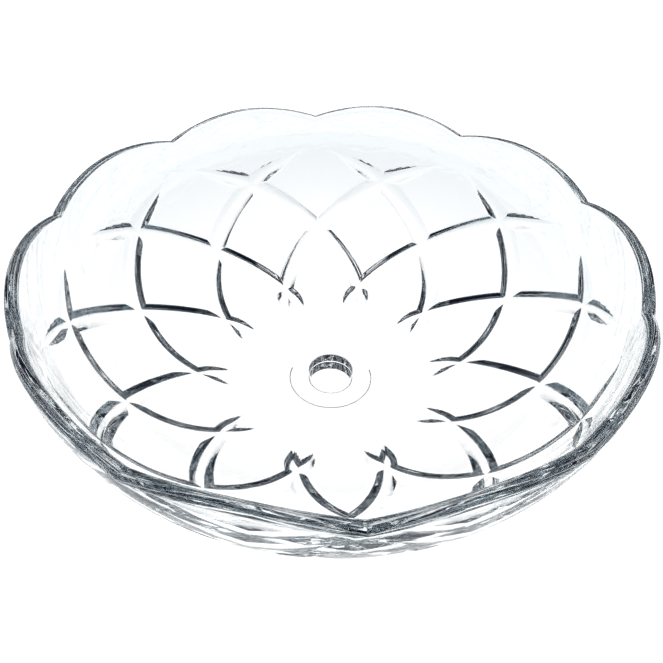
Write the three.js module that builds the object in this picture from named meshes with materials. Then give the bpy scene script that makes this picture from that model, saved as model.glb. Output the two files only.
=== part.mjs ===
// A shallow dish of clear pressed glass, moulded in one piece. It has a scalloped rim of ten lobes, a lattice
// of V-grooves in the outside of the bowl, and one round hole through the middle of the floor.
// Millimetres. +Z is up along the dish's axis, and the origin is at the middle of the foot that it stands on.

import * as THREE from "three";

// ---- Driving dimensions ----

const OUTER_RADIUS = 70; // half the overall diameter
const OVERALL_HEIGHT = 44.1; // from the foot to the tops of the lobes
const LOBES = 10;
const SCALLOP_DEPTH = 3.8; // how far the notches between lobes lie below the lobe tops
const LOBE_ROUNDNESS = 1.9; // exponent of a lobe's arch: 2 is a parabola, less is more pointed
const RIM_THICKNESS = 2.95;
const RIM_EDGE_HEIGHT = 1.3; // height over which the rim's top edge is rounded
const RIM_EDGE_SQUARENESS = 3; // exponent of the rim's cross-section: 2 is a half ellipse, more is squarer
const FLOOR_THICKNESS = 5.3; // from the foot's sole to the land

const HOLE_RADIUS = 5.5;
const HOLE_CHAMFER = 0.4;
const FOOT_RADIUS = 10.5; // the round foot under the floor
const FOOT_HEIGHT = 0.3; // how far the foot stands below the bowl
const LAND_RADIUS = 10.75; // the flat land round the hole, inside the bowl

// Both faces of the bowl are superellipses, (r / radius)^across + (drop / height)^down = 1, where drop is
// the depth below the lobe tops. Higher exponents are boxier.
const OUTER_FACE = {
  radius: OUTER_RADIUS,
  height: OVERALL_HEIGHT - FOOT_HEIGHT,
  across: 3.4,
  down: 1.82,
};
const INNER_FACE = withLandHeight({
  radius: OUTER_RADIUS - RIM_THICKNESS,
  across: 2.77,
  down: 1.92,
});

// Each groove follows a circle, seen from above. The circles are spread evenly round the axis, one under
// each notch of the rim, and cross each other in three rings of lattice points.
const GROOVE_CENTRE = 35.55; // from the axis to a circle's centre
const GROOVE_RADIUS = 31.8; // radius of each circle
const GROOVE_DEPTH = 1.5;

// A groove fades in below the rim and fades out on the floor. The angles run round a circle from its
// outermost point.
const RIM_FADE = { none: 4.5, full: 15 };
const FLOOR_FADE = { none: 60.75, full: 56.5 };

// ---- Mesh density ----

// The lattice is meshed along circles like the grooves' own, this many to a lobe. A groove takes up one step
// on each side of its bottom.
const LINES_PER_LOBE = 8;
const WALL_ROWS = 4;
const RIM_ROWS = 8;
const INNER_ROWS = 16;
const UNDERSIDE_ROWS = 3;

const DEGREE = Math.PI / 180;
const LOBE_ANGLE = 360 / LOBES;
const LINE_STEP = LOBE_ANGLE / LINES_PER_LOBE;
const COLUMNS = LOBES * LINES_PER_LOBE;
const NOTCH_ANGLE = 90; // azimuth of the first notch

// A lattice row is numbered by how many steps apart its crossing lines are.
const FIRST_ROW = Math.round((2 * RIM_FADE.none) / LINE_STEP);
const LAST_ROW = Math.round((2 * FLOOR_FADE.none) / LINE_STEP);

// ---- Profiles ----

function clamp01(value) {
  return Math.min(1, Math.max(0, value));
}

// Gives an inner face the height that puts the edge of its land at the floor's thickness.
function withLandHeight(face) {
  const landShare = (1 - (LAND_RADIUS / face.radius) ** face.across) ** (1 / face.down);
  return { ...face, height: (OVERALL_HEIGHT - FLOOR_THICKNESS) / landShare };
}

// Height of a face at a radius.
function faceHeight(face, r) {
  const inside = clamp01(1 - (r / face.radius) ** face.across);
  return OVERALL_HEIGHT - face.height * inside ** (1 / face.down);
}

// Radius of a face at a height.
function faceRadius(face, z) {
  const drop = clamp01((OVERALL_HEIGHT - z) / face.height);
  return face.radius * (1 - drop ** face.down) ** (1 / face.across);
}

// Slope of a face at a radius, as an angle from the horizontal.
function faceSlope(face, r) {
  const step = 0.01;
  return Math.atan2(faceHeight(face, r + step) - faceHeight(face, r - step), 2 * step);
}

// Height of the rim's top at an azimuth in degrees: lobes arch up between the notches.
function rimHeight(azimuth) {
  const turn = (azimuth - NOTCH_ANGLE) / LOBE_ANGLE;
  const fromMiddle = Math.abs(turn - Math.floor(turn) - 0.5) * 2;
  return OVERALL_HEIGHT - SCALLOP_DEPTH * fromMiddle ** LOBE_ROUNDNESS;
}

// Height at which the rim's rounded edge starts.
function edgeHeight(azimuth) {
  return rimHeight(azimuth) - RIM_EDGE_HEIGHT;
}

// ---- Groove lattice ----

// Every point of the grooved band lies on two circles of the groove's size. Half the angle between their
// centres is how far round each circle the point is, and its azimuth is midway between them.
function latticeRadius(round) {
  const across = GROOVE_CENTRE * Math.sin(round * DEGREE);
  return GROOVE_CENTRE * Math.cos(round * DEGREE) + Math.sqrt(GROOVE_RADIUS ** 2 - across ** 2);
}

function isGroove(line) {
  return line % LINES_PER_LOBE === 0;
}

// Share of the full groove depth at an angle round the circle.
function fadeShare(fade, round) {
  const t = clamp01((round - fade.none) / (fade.full - fade.none));
  return t * t * (3 - 2 * t);
}

// The point of the outer face where two lattice lines cross.
function latticePoint(left, right) {
  const round = ((right - left) / 2) * LINE_STEP;
  const r = latticeRadius(round);
  const depth =
    isGroove(left) || isGroove(right)
      ? GROOVE_DEPTH * fadeShare(RIM_FADE, round) * fadeShare(FLOOR_FADE, round)
      : 0;
  const slope = faceSlope(OUTER_FACE, r);
  return {
    r: r - depth * Math.sin(slope),
    z: faceHeight(OUTER_FACE, r) + depth * Math.cos(slope),
    azimuth: NOTCH_ANGLE + ((left + right) / 2) * LINE_STEP,
  };
}

// ---- Rows of vertices, from the rim inwards ----

// A row whose vertices are spread evenly, with one on every notch.
function plainRow(pointAt) {
  return Array.from({ length: COLUMNS }, (_, column) => {
    const azimuth = NOTCH_ANGLE + column * LINE_STEP;
    return { azimuth, ...pointAt(azimuth) };
  });
}

function ringRow(r, z) {
  return plainRow(() => ({ r, z }));
}

// A lattice row holds the crossings of lines a fixed number of steps apart. Rows an odd number apart are
// turned by half a step.
function latticeRow(apart) {
  return Array.from({ length: COLUMNS }, (_, column) => {
    const left = column - Math.floor(apart / 2);
    return latticePoint(left, left + apart);
  });
}

const latticeRows = [];
for (let apart = FIRST_ROW; apart <= LAST_ROW; apart += 1) {
  latticeRows.push(latticeRow(apart));
}

// The smooth band of outer wall between the lattice and the rim.
function wallRows() {
  const low = faceHeight(OUTER_FACE, latticeRadius(RIM_FADE.none));
  const rows = [];
  for (let k = 1; k <= WALL_ROWS; k += 1) {
    rows.push(
      plainRow((azimuth) => {
        const z = THREE.MathUtils.lerp(low, edgeHeight(azimuth), k / WALL_ROWS);
        return { r: faceRadius(OUTER_FACE, z), z };
      }),
    );
  }
  return rows;
}

// The rounded top edge, from the outer wall over to the inner wall.
function rimRows() {
  const rows = [];
  for (let k = 1; k <= RIM_ROWS; k += 1) {
    const angle = (k / RIM_ROWS) * Math.PI;
    const across = Math.sign(Math.cos(angle)) * Math.abs(Math.cos(angle)) ** (2 / RIM_EDGE_SQUARENESS);
    const up = Math.abs(Math.sin(angle)) ** (2 / RIM_EDGE_SQUARENESS);
    rows.push(
      plainRow((azimuth) => {
        const base = edgeHeight(azimuth);
        const outer = faceRadius(OUTER_FACE, base);
        const inner = faceRadius(INNER_FACE, base);
        return {
          r: (outer + inner) / 2 + ((outer - inner) / 2) * across,
          z: base + RIM_EDGE_HEIGHT * up,
        };
      }),
    );
  }
  return rows;
}

// The superellipse's own angle at a radius, 0 on the axis and a right angle at the widest point.
function innerAngle(r) {
  return Math.asin((r / INNER_FACE.radius) ** (INNER_FACE.across / 2));
}

// The smooth inside of the bowl, from the rim down to the land. The superellipse's angle spaces the rows.
function innerRows() {
  const landAngle = innerAngle(LAND_RADIUS);
  const rows = [];
  for (let k = 1; k <= INNER_ROWS; k += 1) {
    rows.push(
      plainRow((azimuth) => {
        const topAngle = innerAngle(faceRadius(INNER_FACE, edgeHeight(azimuth)));
        const angle = THREE.MathUtils.lerp(topAngle, landAngle, k / INNER_ROWS);
        const r = INNER_FACE.radius * Math.sin(angle) ** (2 / INNER_FACE.across);
        return { r, z: faceHeight(INNER_FACE, r) };
      }),
    );
  }
  return rows;
}

function holeRows() {
  return [
    ringRow(HOLE_RADIUS + HOLE_CHAMFER, FLOOR_THICKNESS),
    ringRow(HOLE_RADIUS, FLOOR_THICKNESS - HOLE_CHAMFER),
    ringRow(HOLE_RADIUS, HOLE_CHAMFER),
    ringRow(HOLE_RADIUS + HOLE_CHAMFER, 0),
  ];
}

// The underside from the foot out to the lattice.
function undersideRows() {
  const footTop = faceHeight(OUTER_FACE, FOOT_RADIUS);
  const latticeEnd = latticeRadius(FLOOR_FADE.none);
  const rows = [ringRow(FOOT_RADIUS - FOOT_HEIGHT, 0), ringRow(FOOT_RADIUS, footTop)];
  for (let k = 1; k < UNDERSIDE_ROWS; k += 1) {
    const r = THREE.MathUtils.lerp(FOOT_RADIUS, latticeEnd, k / UNDERSIDE_ROWS);
    rows.push(ringRow(r, faceHeight(OUTER_FACE, r)));
  }
  return rows;
}

// ---- Mesh ----

function dishGeometry() {
  const positions = [];
  const faces = [];

  // Adds a row's vertices and returns the number of its first one.
  function addRow(row) {
    const start = positions.length / 3;
    for (const { r, z, azimuth } of row) {
      positions.push(r * Math.cos(azimuth * DEGREE), r * Math.sin(azimuth * DEGREE), z);
    }
    return start;
  }

  function around(start, column) {
    return start + (((column % COLUMNS) + COLUMNS) % COLUMNS);
  }

  // Joins two rows whose vertices share their columns.
  function joinRows(from, to) {
    for (let column = 0; column < COLUMNS; column += 1) {
      const a = around(from, column);
      const b = around(from, column + 1);
      const c = around(to, column + 1);
      const d = around(to, column);
      faces.push(a, b, c, a, c, d);
    }
  }

  const latticeStarts = latticeRows.map(addRow);

  // Vertex where two lattice lines cross.
  function crossing(left, right) {
    const apart = right - left;
    return around(latticeStarts[apart - FIRST_ROW], left + Math.floor(apart / 2));
  }

  // The cell between two pairs of neighbouring lines has its corners on three rows, so the first and last
  // rows hold half cells. A whole cell beside a crossing of two grooves is split along the diagonal that runs
  // out of that crossing, so that the grooves meet in clean mitres.
  function addLatticeCell(left, right) {
    const apart = right - left;
    const start = crossing(left, right);
    const end = crossing(left + 1, right + 1);
    if (apart === FIRST_ROW) {
      faces.push(start, crossing(left, right + 1), end);
      return;
    }
    if (apart === LAST_ROW) {
      faces.push(start, end, crossing(left + 1, right));
      return;
    }
    const high = crossing(left + 1, right);
    const low = crossing(left, right + 1);
    const grooveMeetsHigh = isGroove(left + 1) && isGroove(right);
    const grooveMeetsLow = isGroove(left) && isGroove(right + 1);
    if (grooveMeetsHigh || grooveMeetsLow) {
      faces.push(start, low, high, low, end, high);
    } else {
      faces.push(start, low, end, start, end, high);
    }
  }

  for (let apart = FIRST_ROW; apart <= LAST_ROW; apart += 1) {
    for (let left = 0; left < COLUMNS; left += 1) {
      addLatticeCell(left, left + apart);
    }
  }

  const outwardRows = [...wallRows(), ...rimRows(), ...innerRows(), ...holeRows(), ...undersideRows()];
  const starts = [latticeStarts[0], ...outwardRows.map(addRow), latticeStarts.at(-1)];
  for (let k = 1; k < starts.length; k += 1) {
    joinRows(starts[k - 1], starts[k]);
  }

  const geometry = new THREE.BufferGeometry();
  geometry.setAttribute("position", new THREE.Float32BufferAttribute(positions, 3));
  geometry.setIndex(faces);
  geometry.computeVertexNormals();
  return geometry;
}

const clearGlass = new THREE.MeshStandardMaterial({
  color: 0xf2fafb,
  roughness: 0.02,
  metalness: 0,
  transparent: true,
  opacity: 0.35,
});

const dish = new THREE.Mesh(dishGeometry(), clearGlass);
dish.name = "glass_dish";

const part = new THREE.Group();
part.add(dish);

export default part;
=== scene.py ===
# Looks for a pressed glass dish: a scalloped rim, a lattice of grooves in the outside of the bowl and a hole
# through the middle of its floor. It is one piece of clear glass.
# Metres, in the CAD's own frame: +Z up along the dish's axis, origin at the middle of the foot.

import math

import bpy
import numpy as np
from mathutils import Matrix, Vector


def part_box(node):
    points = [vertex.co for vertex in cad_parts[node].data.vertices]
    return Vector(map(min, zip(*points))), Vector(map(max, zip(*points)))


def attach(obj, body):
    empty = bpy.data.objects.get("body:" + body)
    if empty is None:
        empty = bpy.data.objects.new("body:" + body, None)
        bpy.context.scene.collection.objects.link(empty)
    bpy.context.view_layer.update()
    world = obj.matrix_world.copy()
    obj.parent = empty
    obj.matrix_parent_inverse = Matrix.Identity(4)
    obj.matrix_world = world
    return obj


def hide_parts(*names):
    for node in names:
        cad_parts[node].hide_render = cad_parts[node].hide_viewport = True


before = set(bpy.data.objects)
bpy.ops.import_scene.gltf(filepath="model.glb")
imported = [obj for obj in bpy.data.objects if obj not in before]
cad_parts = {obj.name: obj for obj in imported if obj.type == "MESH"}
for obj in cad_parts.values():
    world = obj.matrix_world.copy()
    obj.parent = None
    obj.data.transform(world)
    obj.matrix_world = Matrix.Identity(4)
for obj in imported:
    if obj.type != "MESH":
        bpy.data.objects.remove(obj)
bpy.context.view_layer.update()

DISH = "glass_dish"
low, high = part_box(DISH)

# ---- Dish dimensions, the same as the CAD's but for the roundings of edges ----

MM = 0.001
OUTER_RADIUS = 70 * MM
OVERALL_HEIGHT = high[2] - low[2]
LOBES = 10
SCALLOP_DEPTH = 3.8 * MM
LOBE_ROUNDNESS = 1.9  # exponent of a lobe's arch
RIM_THICKNESS = 2.95 * MM
RIM_EDGE_HEIGHT = 1.45 * MM  # about half the rim's thickness, so the rim is round
RIM_EDGE_SQUARENESS = 2  # exponent of the rim's cross-section
FLOOR_THICKNESS = 5.3 * MM
HOLE_RADIUS = 5.5 * MM
HOLE_EDGE = 0.35 * MM  # radius of the rounding at the hole's upper end
HOLE_LOWER_EDGE = 0.15 * MM  # and at its lower end
FOOT_RADIUS = 10.5 * MM
FOOT_HEIGHT = 0.3 * MM
FOOT_EDGE = 0.1 * MM  # width of the foot's sloping edge
LAND_RADIUS = 10.75 * MM  # flat floor round the hole

# Both faces are superellipses, (r / radius)^across + (drop / height)^down = 1, with drop measured down from
# the lobe tops.
OUTER = {"radius": OUTER_RADIUS, "height": OVERALL_HEIGHT - FOOT_HEIGHT, "across": 3.4, "down": 1.82}
INNER = {"radius": OUTER_RADIUS - RIM_THICKNESS, "across": 2.77, "down": 1.92}
LAND_SHARE = (1 - (LAND_RADIUS / INNER["radius"]) ** INNER["across"]) ** (1 / INNER["down"])
INNER["height"] = (OVERALL_HEIGHT - FLOOR_THICKNESS) / LAND_SHARE

# Each groove follows a circle, seen from above. Angles round a circle run from its outermost point.
GROOVE_CENTRE = 35.55 * MM
GROOVE_RADIUS = 31.8 * MM
GROOVE_DEPTH = 1.5 * MM
GROOVE_HALF_WIDTH = 4.5  # degrees that the circle turns about the axis to reach the groove's edge
GROOVE_BOTTOM_ROUND = 0.55  # how much of the half width the rounded bottom takes up
GROOVE_EDGE_ROUND = 0.08 * MM
RIM_FADE = (5.0, 15.0)  # degrees round a circle at which its groove starts and is full
FLOOR_FADE = (60.3, 55.5)

# ---- Mesh density ----

LINES_PER_LOBE = 48
WALL_ROWS = 24
RIM_ROWS = 24
INNER_ROWS = 70
HOLE_EDGE_ROWS = 6
UNDERSIDE_ROWS = 10

LOBE_ANGLE = 360 / LOBES
LINE_STEP = LOBE_ANGLE / LINES_PER_LOBE
COLUMNS = LOBES * LINES_PER_LOBE
NOTCH_ANGLE = 90.0  # azimuth of the first notch
LATTICE_START = 4.5  # degrees round a circle, a little outside the grooves' ends
LATTICE_END = 60.75
FIRST_ROW = round(2 * LATTICE_START / LINE_STEP)
LAST_ROW = round(2 * LATTICE_END / LINE_STEP)
SLOPE_STEP = 0.01 * MM  # steps over which slopes are measured
NORMAL_STEP = 0.15  # degrees
LAND_INNER_SHARE = 0.9  # a row inside the land's edge keeps the land flat

# ---- Profiles ----


def face_height(face, r):
    inside = np.clip(1 - (np.asarray(r, float) / face["radius"]) ** face["across"], 0, 1)
    return OVERALL_HEIGHT - face["height"] * inside ** (1 / face["down"])


def face_radius(face, z):
    drop = np.clip((OVERALL_HEIGHT - np.asarray(z, float)) / face["height"], 0, 1)
    return face["radius"] * (1 - drop ** face["down"]) ** (1 / face["across"])


def face_slope(face, r):
    """Angle of a face from the horizontal at a radius."""
    rise = face_height(face, r + SLOPE_STEP) - face_height(face, r - SLOPE_STEP)
    return np.arctan2(rise, 2 * SLOPE_STEP)


def rim_height(azimuth):
    """Height of the rim's top: lobes arch up between the notches."""
    turn = (np.asarray(azimuth, float) - NOTCH_ANGLE) / LOBE_ANGLE
    from_middle = np.abs(turn - np.floor(turn) - 0.5) * 2
    return OVERALL_HEIGHT - SCALLOP_DEPTH * from_middle**LOBE_ROUNDNESS


def to_xyz(r, azimuth, z):
    turn = np.radians(azimuth)
    return np.stack([r * np.cos(turn), r * np.sin(turn), z], axis=-1)


# ---- Groove lattice ----


def lattice_radius(round_by):
    turn = np.radians(round_by)
    across = GROOVE_CENTRE * np.sin(turn)
    return GROOVE_CENTRE * np.cos(turn) + np.sqrt(GROOVE_RADIUS**2 - across**2)


def off_groove(angle):
    """Angle between a circle and the nearest groove."""
    turn = angle / LOBE_ANGLE
    return np.abs(turn - np.round(turn)) * LOBE_ANGLE


def fade_share(fade, round_by):
    none, full = fade
    t = np.clip((round_by - none) / (full - none), 0, 1)
    return t * t * (3 - 2 * t)


def groove_depth(left, right):
    """Depth of the outer face under the smooth bowl where two circles cross. A groove's section is a
    hyperbola, and one that fades gets shallower and narrower together."""
    round_by = (right - left) / 2
    bottom = GROOVE_DEPTH * (fade_share(RIM_FADE, round_by) + fade_share(FLOOR_FADE, round_by) - 1)
    off = np.minimum(off_groove(left), off_groove(right)) / GROOVE_HALF_WIDTH
    rounding = GROOVE_BOTTOM_ROUND
    rise = (np.sqrt(off**2 + rounding**2) - rounding) / (math.sqrt(1 + rounding**2) - rounding)
    depth = bottom - GROOVE_DEPTH * rise
    return (depth + np.sqrt(depth**2 + GROOVE_EDGE_ROUND**2)) / 2


def lattice_point(left, right):
    """Point of the outer face where two circles, given by the azimuths of their centres, cross."""
    r = lattice_radius((right - left) / 2)
    depth = groove_depth(left, right)
    slope = face_slope(OUTER, r)
    azimuth = NOTCH_ANGLE + (left + right) / 2
    return to_xyz(r - depth * np.sin(slope), azimuth, face_height(OUTER, r) + depth * np.cos(slope))


def lattice_normal(left, right):
    step = NORMAL_STEP
    round_axis = lattice_point(left + step, right + step) - lattice_point(left - step, right - step)
    inwards = lattice_point(left - step, right + step) - lattice_point(left + step, right - step)
    return np.cross(inwards, round_axis)


# ---- Mesh ----


def unit(vectors):
    return vectors / np.linalg.norm(vectors, axis=-1, keepdims=True)


class DishMesh:
    """Rows of vertices with their normals. A row without normals of its own takes those of the mesh."""

    def __init__(self):
        self.points = []
        self.normals = []
        self.quads = []
        self.triangles = []
        self.azimuths = NOTCH_ANGLE + np.arange(COLUMNS) * LINE_STEP

    def add_row(self, points, normals=None):
        self.points.append(points)
        self.normals.append(np.zeros_like(points) if normals is None else unit(normals))
        return len(self.points) - 1

    def add_face_row(self, face, r, azimuths):
        """A row on the smooth part of a face, with that face's own normals."""
        outwards = 1 if face is OUTER else -1
        slope = face_slope(face, r)
        normals = to_xyz(np.sin(slope), azimuths, -np.cos(slope)) * outwards
        return self.add_row(to_xyz(r, azimuths, face_height(face, r)), normals)

    def add_ring(self, r, z, normal=None):
        spread = np.ones(COLUMNS)
        points = to_xyz(r * spread, self.azimuths, z * spread)
        normals = None if normal is None else to_xyz(normal[0] * spread, self.azimuths, normal[1] * spread)
        return self.add_row(points, normals)

    def join(self, rows):
        column = np.arange(COLUMNS)
        after = (column + 1) % COLUMNS
        for a, b in zip(rows, rows[1:]):
            start, end = a * COLUMNS, b * COLUMNS
            self.quads.append(np.stack([start + column, start + after, end + after, end + column], axis=1))

    def add_lattice(self):
        """The grooved band. Its vertices are the crossings of circles like the grooves' own, and each row
        holds the crossings of circles a fixed number of steps apart."""
        column = np.arange(COLUMNS)
        rows = []
        for apart in range(FIRST_ROW, LAST_ROW + 1):
            left = (column - apart // 2) * LINE_STEP
            right = left + apart * LINE_STEP
            rows.append(self.add_row(lattice_point(left, right), lattice_normal(left, right)))
        self.add_lattice_cells(rows[0])
        return rows[0], rows[-1]

    def add_lattice_cells(self, first):
        """Each cell is split along the diagonal that runs out of the grooves' crossing, so that crossing
        grooves meet in clean mitres."""

        def crossing(left, right):
            apart = right - left
            return (first + apart - FIRST_ROW) * COLUMNS + np.mod(left + apart // 2, COLUMNS)

        def nearer_groove(line):
            return off_groove((line + 1) * LINE_STEP) < off_groove(line * LINE_STEP)

        left = np.arange(COLUMNS)
        for apart in range(FIRST_ROW, LAST_ROW + 1):
            right = left + apart
            start, end = crossing(left, right), crossing(left + 1, right + 1)
            if apart == FIRST_ROW:
                self.triangles.append(np.stack([start, crossing(left, right + 1), end], axis=1))
                continue
            if apart == LAST_ROW:
                self.triangles.append(np.stack([start, end, crossing(left + 1, right)], axis=1))
                continue
            above, below = crossing(left + 1, right), crossing(left, right + 1)
            upright = nearer_groove(left) != nearer_groove(right)
            self.triangles.append(np.stack([start, below, above], axis=1)[upright])
            self.triangles.append(np.stack([below, end, above], axis=1)[upright])
            self.triangles.append(np.stack([start, below, end], axis=1)[~upright])
            self.triangles.append(np.stack([start, end, above], axis=1)[~upright])

    def add_wall(self):
        """The smooth band of outer wall between the lattice and the rim."""
        bottom = face_height(OUTER, lattice_radius(LATTICE_START))
        top = rim_height(self.azimuths) - RIM_EDGE_HEIGHT
        rows = []
        for k in range(1, WALL_ROWS + 1):
            z = bottom + (top - bottom) * k / WALL_ROWS
            rows.append(self.add_face_row(OUTER, face_radius(OUTER, z), self.azimuths))
        return rows

    def add_rim(self):
        """The rounded top edge, from the outer wall over to the inner wall."""
        base = rim_height(self.azimuths) - RIM_EDGE_HEIGHT
        outer, inner = face_radius(OUTER, base), face_radius(INNER, base)
        rows = []
        for k in range(1, RIM_ROWS):
            angle = k / RIM_ROWS * math.pi
            across = math.copysign(abs(math.cos(angle)) ** (2 / RIM_EDGE_SQUARENESS), math.cos(angle))
            up = math.sin(angle) ** (2 / RIM_EDGE_SQUARENESS)
            r = (outer + inner) / 2 + (outer - inner) / 2 * across
            rows.append(self.add_row(to_xyz(r, self.azimuths, base + RIM_EDGE_HEIGHT * up)))
        return rows

    def add_inside(self):
        """The smooth inside of the bowl down to the land. The superellipse's own angle spaces the rows."""
        inner = face_radius(INNER, rim_height(self.azimuths) - RIM_EDGE_HEIGHT)
        top = np.arcsin((inner / INNER["radius"]) ** (INNER["across"] / 2))
        land = math.asin((LAND_RADIUS / INNER["radius"]) ** (INNER["across"] / 2))
        rows = []
        for k in range(INNER_ROWS + 1):
            angle = top + (land - top) * k / INNER_ROWS
            r = INNER["radius"] * np.sin(angle) ** (2 / INNER["across"])
            rows.append(self.add_face_row(INNER, r, self.azimuths))
        return rows

    def add_hole(self):
        rows = [self.add_ring(LAND_RADIUS * LAND_INNER_SHARE, FLOOR_THICKNESS, (0, 1))]
        turns = [k / HOLE_EDGE_ROWS * math.pi / 2 for k in range(HOLE_EDGE_ROWS + 1)]
        for turn in turns:
            r = HOLE_RADIUS + HOLE_EDGE * (1 - math.sin(turn))
            z = FLOOR_THICKNESS - HOLE_EDGE * (1 - math.cos(turn))
            rows.append(self.add_ring(r, z, (-math.sin(turn), math.cos(turn))))
        for turn in turns:
            r = HOLE_RADIUS + HOLE_LOWER_EDGE * (1 - math.cos(turn))
            z = HOLE_LOWER_EDGE * (1 - math.sin(turn))
            rows.append(self.add_ring(r, z, (-math.cos(turn), -math.sin(turn))))
        return rows

    def add_underside(self):
        """The foot and the smooth glass round it, out to the lattice."""
        foot_top = float(face_height(OUTER, FOOT_RADIUS))
        rows = [
            self.add_ring(FOOT_RADIUS - 2 * FOOT_EDGE, 0, (0, -1)),
            self.add_ring(FOOT_RADIUS - FOOT_EDGE, 0),
            self.add_ring(FOOT_RADIUS, foot_top),
            self.add_face_row(OUTER, np.full(COLUMNS, FOOT_RADIUS + FOOT_EDGE), self.azimuths),
        ]
        lattice_end = lattice_radius(LATTICE_END)
        for k in range(1, UNDERSIDE_ROWS):
            r = FOOT_RADIUS + (lattice_end - FOOT_RADIUS) * k / UNDERSIDE_ROWS
            rows.append(self.add_face_row(OUTER, np.full(COLUMNS, r), self.azimuths))
        return rows

    def build(self, name):
        top, bottom = self.add_lattice()
        rows = [top, *self.add_wall(), *self.add_rim(), *self.add_inside()]
        rows += [*self.add_hole(), *self.add_underside(), bottom]
        self.join(rows)
        faces = np.concatenate(self.quads).tolist() + np.concatenate(self.triangles).tolist()
        mesh = bpy.data.meshes.new(name)
        mesh.from_pydata(np.concatenate(self.points).tolist(), [], faces)
        mesh.update()
        mesh.shade_smooth()
        normals = np.concatenate(self.normals)
        from_mesh = np.zeros(normals.size, dtype=np.float32)
        mesh.vertex_normals.foreach_get("vector", from_mesh)
        from_mesh = from_mesh.reshape(normals.shape)
        missing = ~normals.any(axis=1)
        normals[missing] = from_mesh[missing]
        mesh.normals_split_custom_set_from_vertices(normals.tolist())
        return mesh


# ---- Glass ----

ABSORPTION_COLOUR = (0.86, 0.97, 1.0, 1)
ABSORPTION_DENSITY = 4.0
REFRACTIVE_INDEX = 1.52
WAVES_PER_METRE = 260  # faint waves that a mould leaves in pressed glass
WAVE_DETAIL = 1
WAVE_HEIGHT = 0.03 * MM


def clear_glass():
    """Clear glass with faint waves in its surface and a slight cool tint."""
    material = bpy.data.materials.new("clear_glass")
    material.use_nodes = True
    nodes, links = material.node_tree.nodes, material.node_tree.links
    shader = nodes["Principled BSDF"]
    shader.inputs["Base Color"].default_value = (1, 1, 1, 1)
    shader.inputs["Transmission Weight"].default_value = 1
    shader.inputs["Roughness"].default_value = 0
    shader.inputs["IOR"].default_value = REFRACTIVE_INDEX
    waves = nodes.new("ShaderNodeTexNoise")
    waves.inputs["Scale"].default_value = WAVES_PER_METRE
    waves.inputs["Detail"].default_value = WAVE_DETAIL
    links.new(nodes.new("ShaderNodeTexCoord").outputs["Object"], waves.inputs["Vector"])
    bump = nodes.new("ShaderNodeBump")
    bump.inputs["Distance"].default_value = WAVE_HEIGHT
    links.new(waves.outputs["Fac"], bump.inputs["Height"])
    links.new(bump.outputs["Normal"], shader.inputs["Normal"])
    absorption = nodes.new("ShaderNodeVolumeAbsorption")
    absorption.inputs["Color"].default_value = ABSORPTION_COLOUR
    absorption.inputs["Density"].default_value = ABSORPTION_DENSITY
    links.new(absorption.outputs["Volume"], nodes["Material Output"].inputs["Volume"])
    return material


def make_dish():
    mesh = DishMesh().build("pressed_glass_dish")
    mesh.materials.append(clear_glass())
    dish = bpy.data.objects.new("pressed_glass_dish", mesh)
    dish.location = ((low[0] + high[0]) / 2, (low[1] + high[1]) / 2, low[2])
    bpy.context.scene.collection.objects.link(dish)
    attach(dish, "root")
    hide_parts(DISH)


make_dish()

# ---- Camera ----

CAMERA_SENSOR = 36
CAMERA_LENS = 41.204
CAMERA_DOWN = math.radians(42.976)  # how far the view looks down
CAMERA_TURN = math.radians(5.573)  # how far the view is turned about the dish's axis
CAMERA_ROLL = math.radians(-1.732)
CAMERA_DISTANCE = 169.8 * MM  # to the middle of the rim's notches, along the view
CAMERA_ACROSS = 0.1 * MM
CAMERA_UP = 15.85 * MM
CLIP_START = 5 * MM


def place_camera():
    """The camera looks at the middle of the ring of notches, from the front, then moves a little off it."""
    data = bpy.data.cameras.new("camera")
    data.sensor_width = CAMERA_SENSOR
    data.lens = CAMERA_LENS
    data.clip_start = CLIP_START
    camera = bpy.data.objects.new("camera", data)
    bpy.context.scene.collection.objects.link(camera)
    bpy.context.scene.camera = camera
    right = Vector((1, 0, 0))
    up = Vector((0, math.sin(CAMERA_DOWN), math.cos(CAMERA_DOWN)))
    forward = Vector((0, math.cos(CAMERA_DOWN), -math.sin(CAMERA_DOWN)))
    rolled_right = right * math.cos(CAMERA_ROLL) - up * math.sin(CAMERA_ROLL)
    rolled_up = right * math.sin(CAMERA_ROLL) + up * math.cos(CAMERA_ROLL)
    pose = Matrix((rolled_right, rolled_up, -forward)).transposed().to_4x4()
    pose.translation = -CAMERA_ACROSS * right - CAMERA_UP * up - CAMERA_DISTANCE * forward
    lift = Matrix.Translation((0, 0, low[2] + OVERALL_HEIGHT - SCALLOP_DEPTH))
    camera.matrix_world = lift @ Matrix.Rotation(-CAMERA_TURN, 4, "Z") @ pose


place_camera()

# ---- Stage ----

WHITE = (1.13, 1.13, 1.13, 1)  # over 1, to make up for what the glass reflects away
SLATE = (0.012, 0.02, 0.042, 1)
WHITE_BELOW = -0.02  # sines of the elevation between which the room turns from white to dark
DARK_ABOVE = 0.06

# The soft light overhead is an oval, given by the sines of its angles from straight up.
SOFT_LIGHT = (1, 1, 1, 1)
LIGHT_HALF_WIDTH = math.sin(math.radians(19))
LIGHT_HALF_LENGTH = math.sin(math.radians(26))
LIGHT_FORWARDS = 0.05  # how far its middle sits towards the front
LIGHT_EDGE = (1.15, 0.8)  # shares of the oval, squared, over which it turns from dark to bright

FLOOR_RADIUS = 3  # the camera sees the same white past its edge
FLOOR_SIDES = 64
FLOOR_GAP = 0.02 * MM  # under the foot
TABLE_FADE = (50 * MM, 125 * MM)  # distances from the axis over which the table dims
TABLE_EDGE = (1.005, 1.03, 1.045, 1)


def link(links, value, socket):
    """Puts a number or colour on a socket, or links another node's output to it."""
    if isinstance(value, bpy.types.NodeSocket):
        links.new(value, socket)
    else:
        socket.default_value = value


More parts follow.
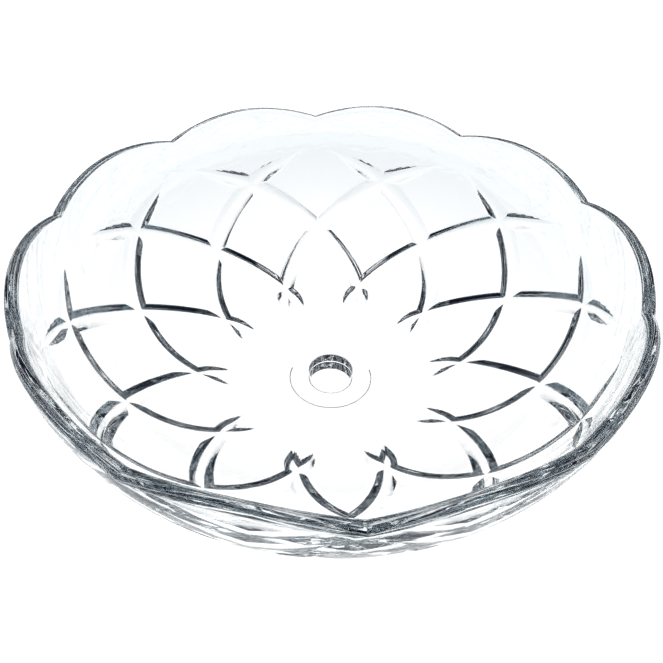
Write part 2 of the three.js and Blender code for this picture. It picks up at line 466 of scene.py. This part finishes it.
def mix_colours(tree, share, first, second):
    node = tree.nodes.new("ShaderNodeMix")
    node.data_type = "RGBA"
    sockets = {socket.identifier: socket for socket in node.inputs}
    link(tree.links, share, sockets["Factor_Float"])
    link(tree.links, first, sockets["A_Color"])
    link(tree.links, second, sockets["B_Color"])
    return next(socket for socket in node.outputs if socket.identifier == "Result_Color")


def smooth_share(tree, value, start, end):
    node = tree.nodes.new("ShaderNodeMapRange")
    node.interpolation_type = "SMOOTHSTEP"
    node.inputs["From Min"].default_value = start
    node.inputs["From Max"].default_value = end
    tree.links.new(value, node.inputs["Value"])
    return node.outputs["Result"]


def calculate(tree, operation, first, second):
    node = tree.nodes.new("ShaderNodeMath")
    node.operation = operation
    link(tree.links, first, node.inputs[0])
    link(tree.links, second, node.inputs[1])
    return node.outputs["Value"]


def overhead_light(tree, x, y, z):
    """Share of the soft light seen in a direction."""
    across = calculate(tree, "POWER", calculate(tree, "DIVIDE", x, LIGHT_HALF_WIDTH), 2)
    along = calculate(tree, "DIVIDE", calculate(tree, "ADD", y, LIGHT_FORWARDS), LIGHT_HALF_LENGTH)
    off_centre = calculate(tree, "ADD", across, calculate(tree, "POWER", along, 2))
    overhead = calculate(tree, "GREATER_THAN", z, 0)
    return calculate(tree, "MULTIPLY", smooth_share(tree, off_centre, *LIGHT_EDGE), overhead)


def make_studio():
    """White round the floor and dark slate above, with one soft light overhead. The camera sees white."""
    world = bpy.data.worlds.new("studio")
    bpy.context.scene.world = world
    world.use_nodes = True
    tree = world.node_tree
    direction = tree.nodes.new("ShaderNodeSeparateXYZ")
    tree.links.new(tree.nodes.new("ShaderNodeTexCoord").outputs["Generated"], direction.inputs["Vector"])
    x, y, z = direction.outputs
    room = mix_colours(tree, smooth_share(tree, z, WHITE_BELOW, DARK_ABOVE), WHITE, SLATE)
    room = mix_colours(tree, overhead_light(tree, x, y, z), room, SOFT_LIGHT)
    seen = tree.nodes.new("ShaderNodeLightPath").outputs["Is Camera Ray"]
    tree.links.new(mix_colours(tree, seen, room, WHITE), tree.nodes["Background"].inputs["Color"])


def make_floor():
    """A light table, brightest under the dish. The camera sees it white all over."""
    bpy.ops.mesh.primitive_circle_add(
        vertices=FLOOR_SIDES, radius=FLOOR_RADIUS, fill_type="NGON", location=(0, 0, low[2] - FLOOR_GAP)
    )
    floor = bpy.context.object
    floor.name = "floor"
    material = bpy.data.materials.new("light_table")
    material.use_nodes = True
    tree = material.node_tree
    tree.nodes.remove(tree.nodes["Principled BSDF"])
    distance = tree.nodes.new("ShaderNodeVectorMath")
    distance.operation = "LENGTH"
    tree.links.new(tree.nodes.new("ShaderNodeTexCoord").outputs["Object"], distance.inputs[0])
    table = mix_colours(tree, smooth_share(tree, distance.outputs["Value"], *TABLE_FADE), WHITE, TABLE_EDGE)
    seen = tree.nodes.new("ShaderNodeLightPath").outputs["Is Camera Ray"]
    glow = tree.nodes.new("ShaderNodeEmission")
    tree.links.new(mix_colours(tree, seen, table, WHITE), glow.inputs["Color"])
    tree.links.new(glow.outputs["Emission"], tree.nodes["Material Output"].inputs["Surface"])
    floor.data.materials.append(material)


make_studio()
make_floor()

# ---- Render settings ----

CONTRAST = 0.58  # display gamma: under 1 deepens the greys
MOST_BOUNCES = 96  # light that gets lost inside the glass would leave false dark marks

scene = bpy.context.scene
scene.view_settings.view_transform = "Standard"
scene.view_settings.gamma = CONTRAST
scene.cycles.max_bounces = MOST_BOUNCES
scene.cycles.transmission_bounces = MOST_BOUNCES
scene.cycles.glossy_bounces = MOST_BOUNCES
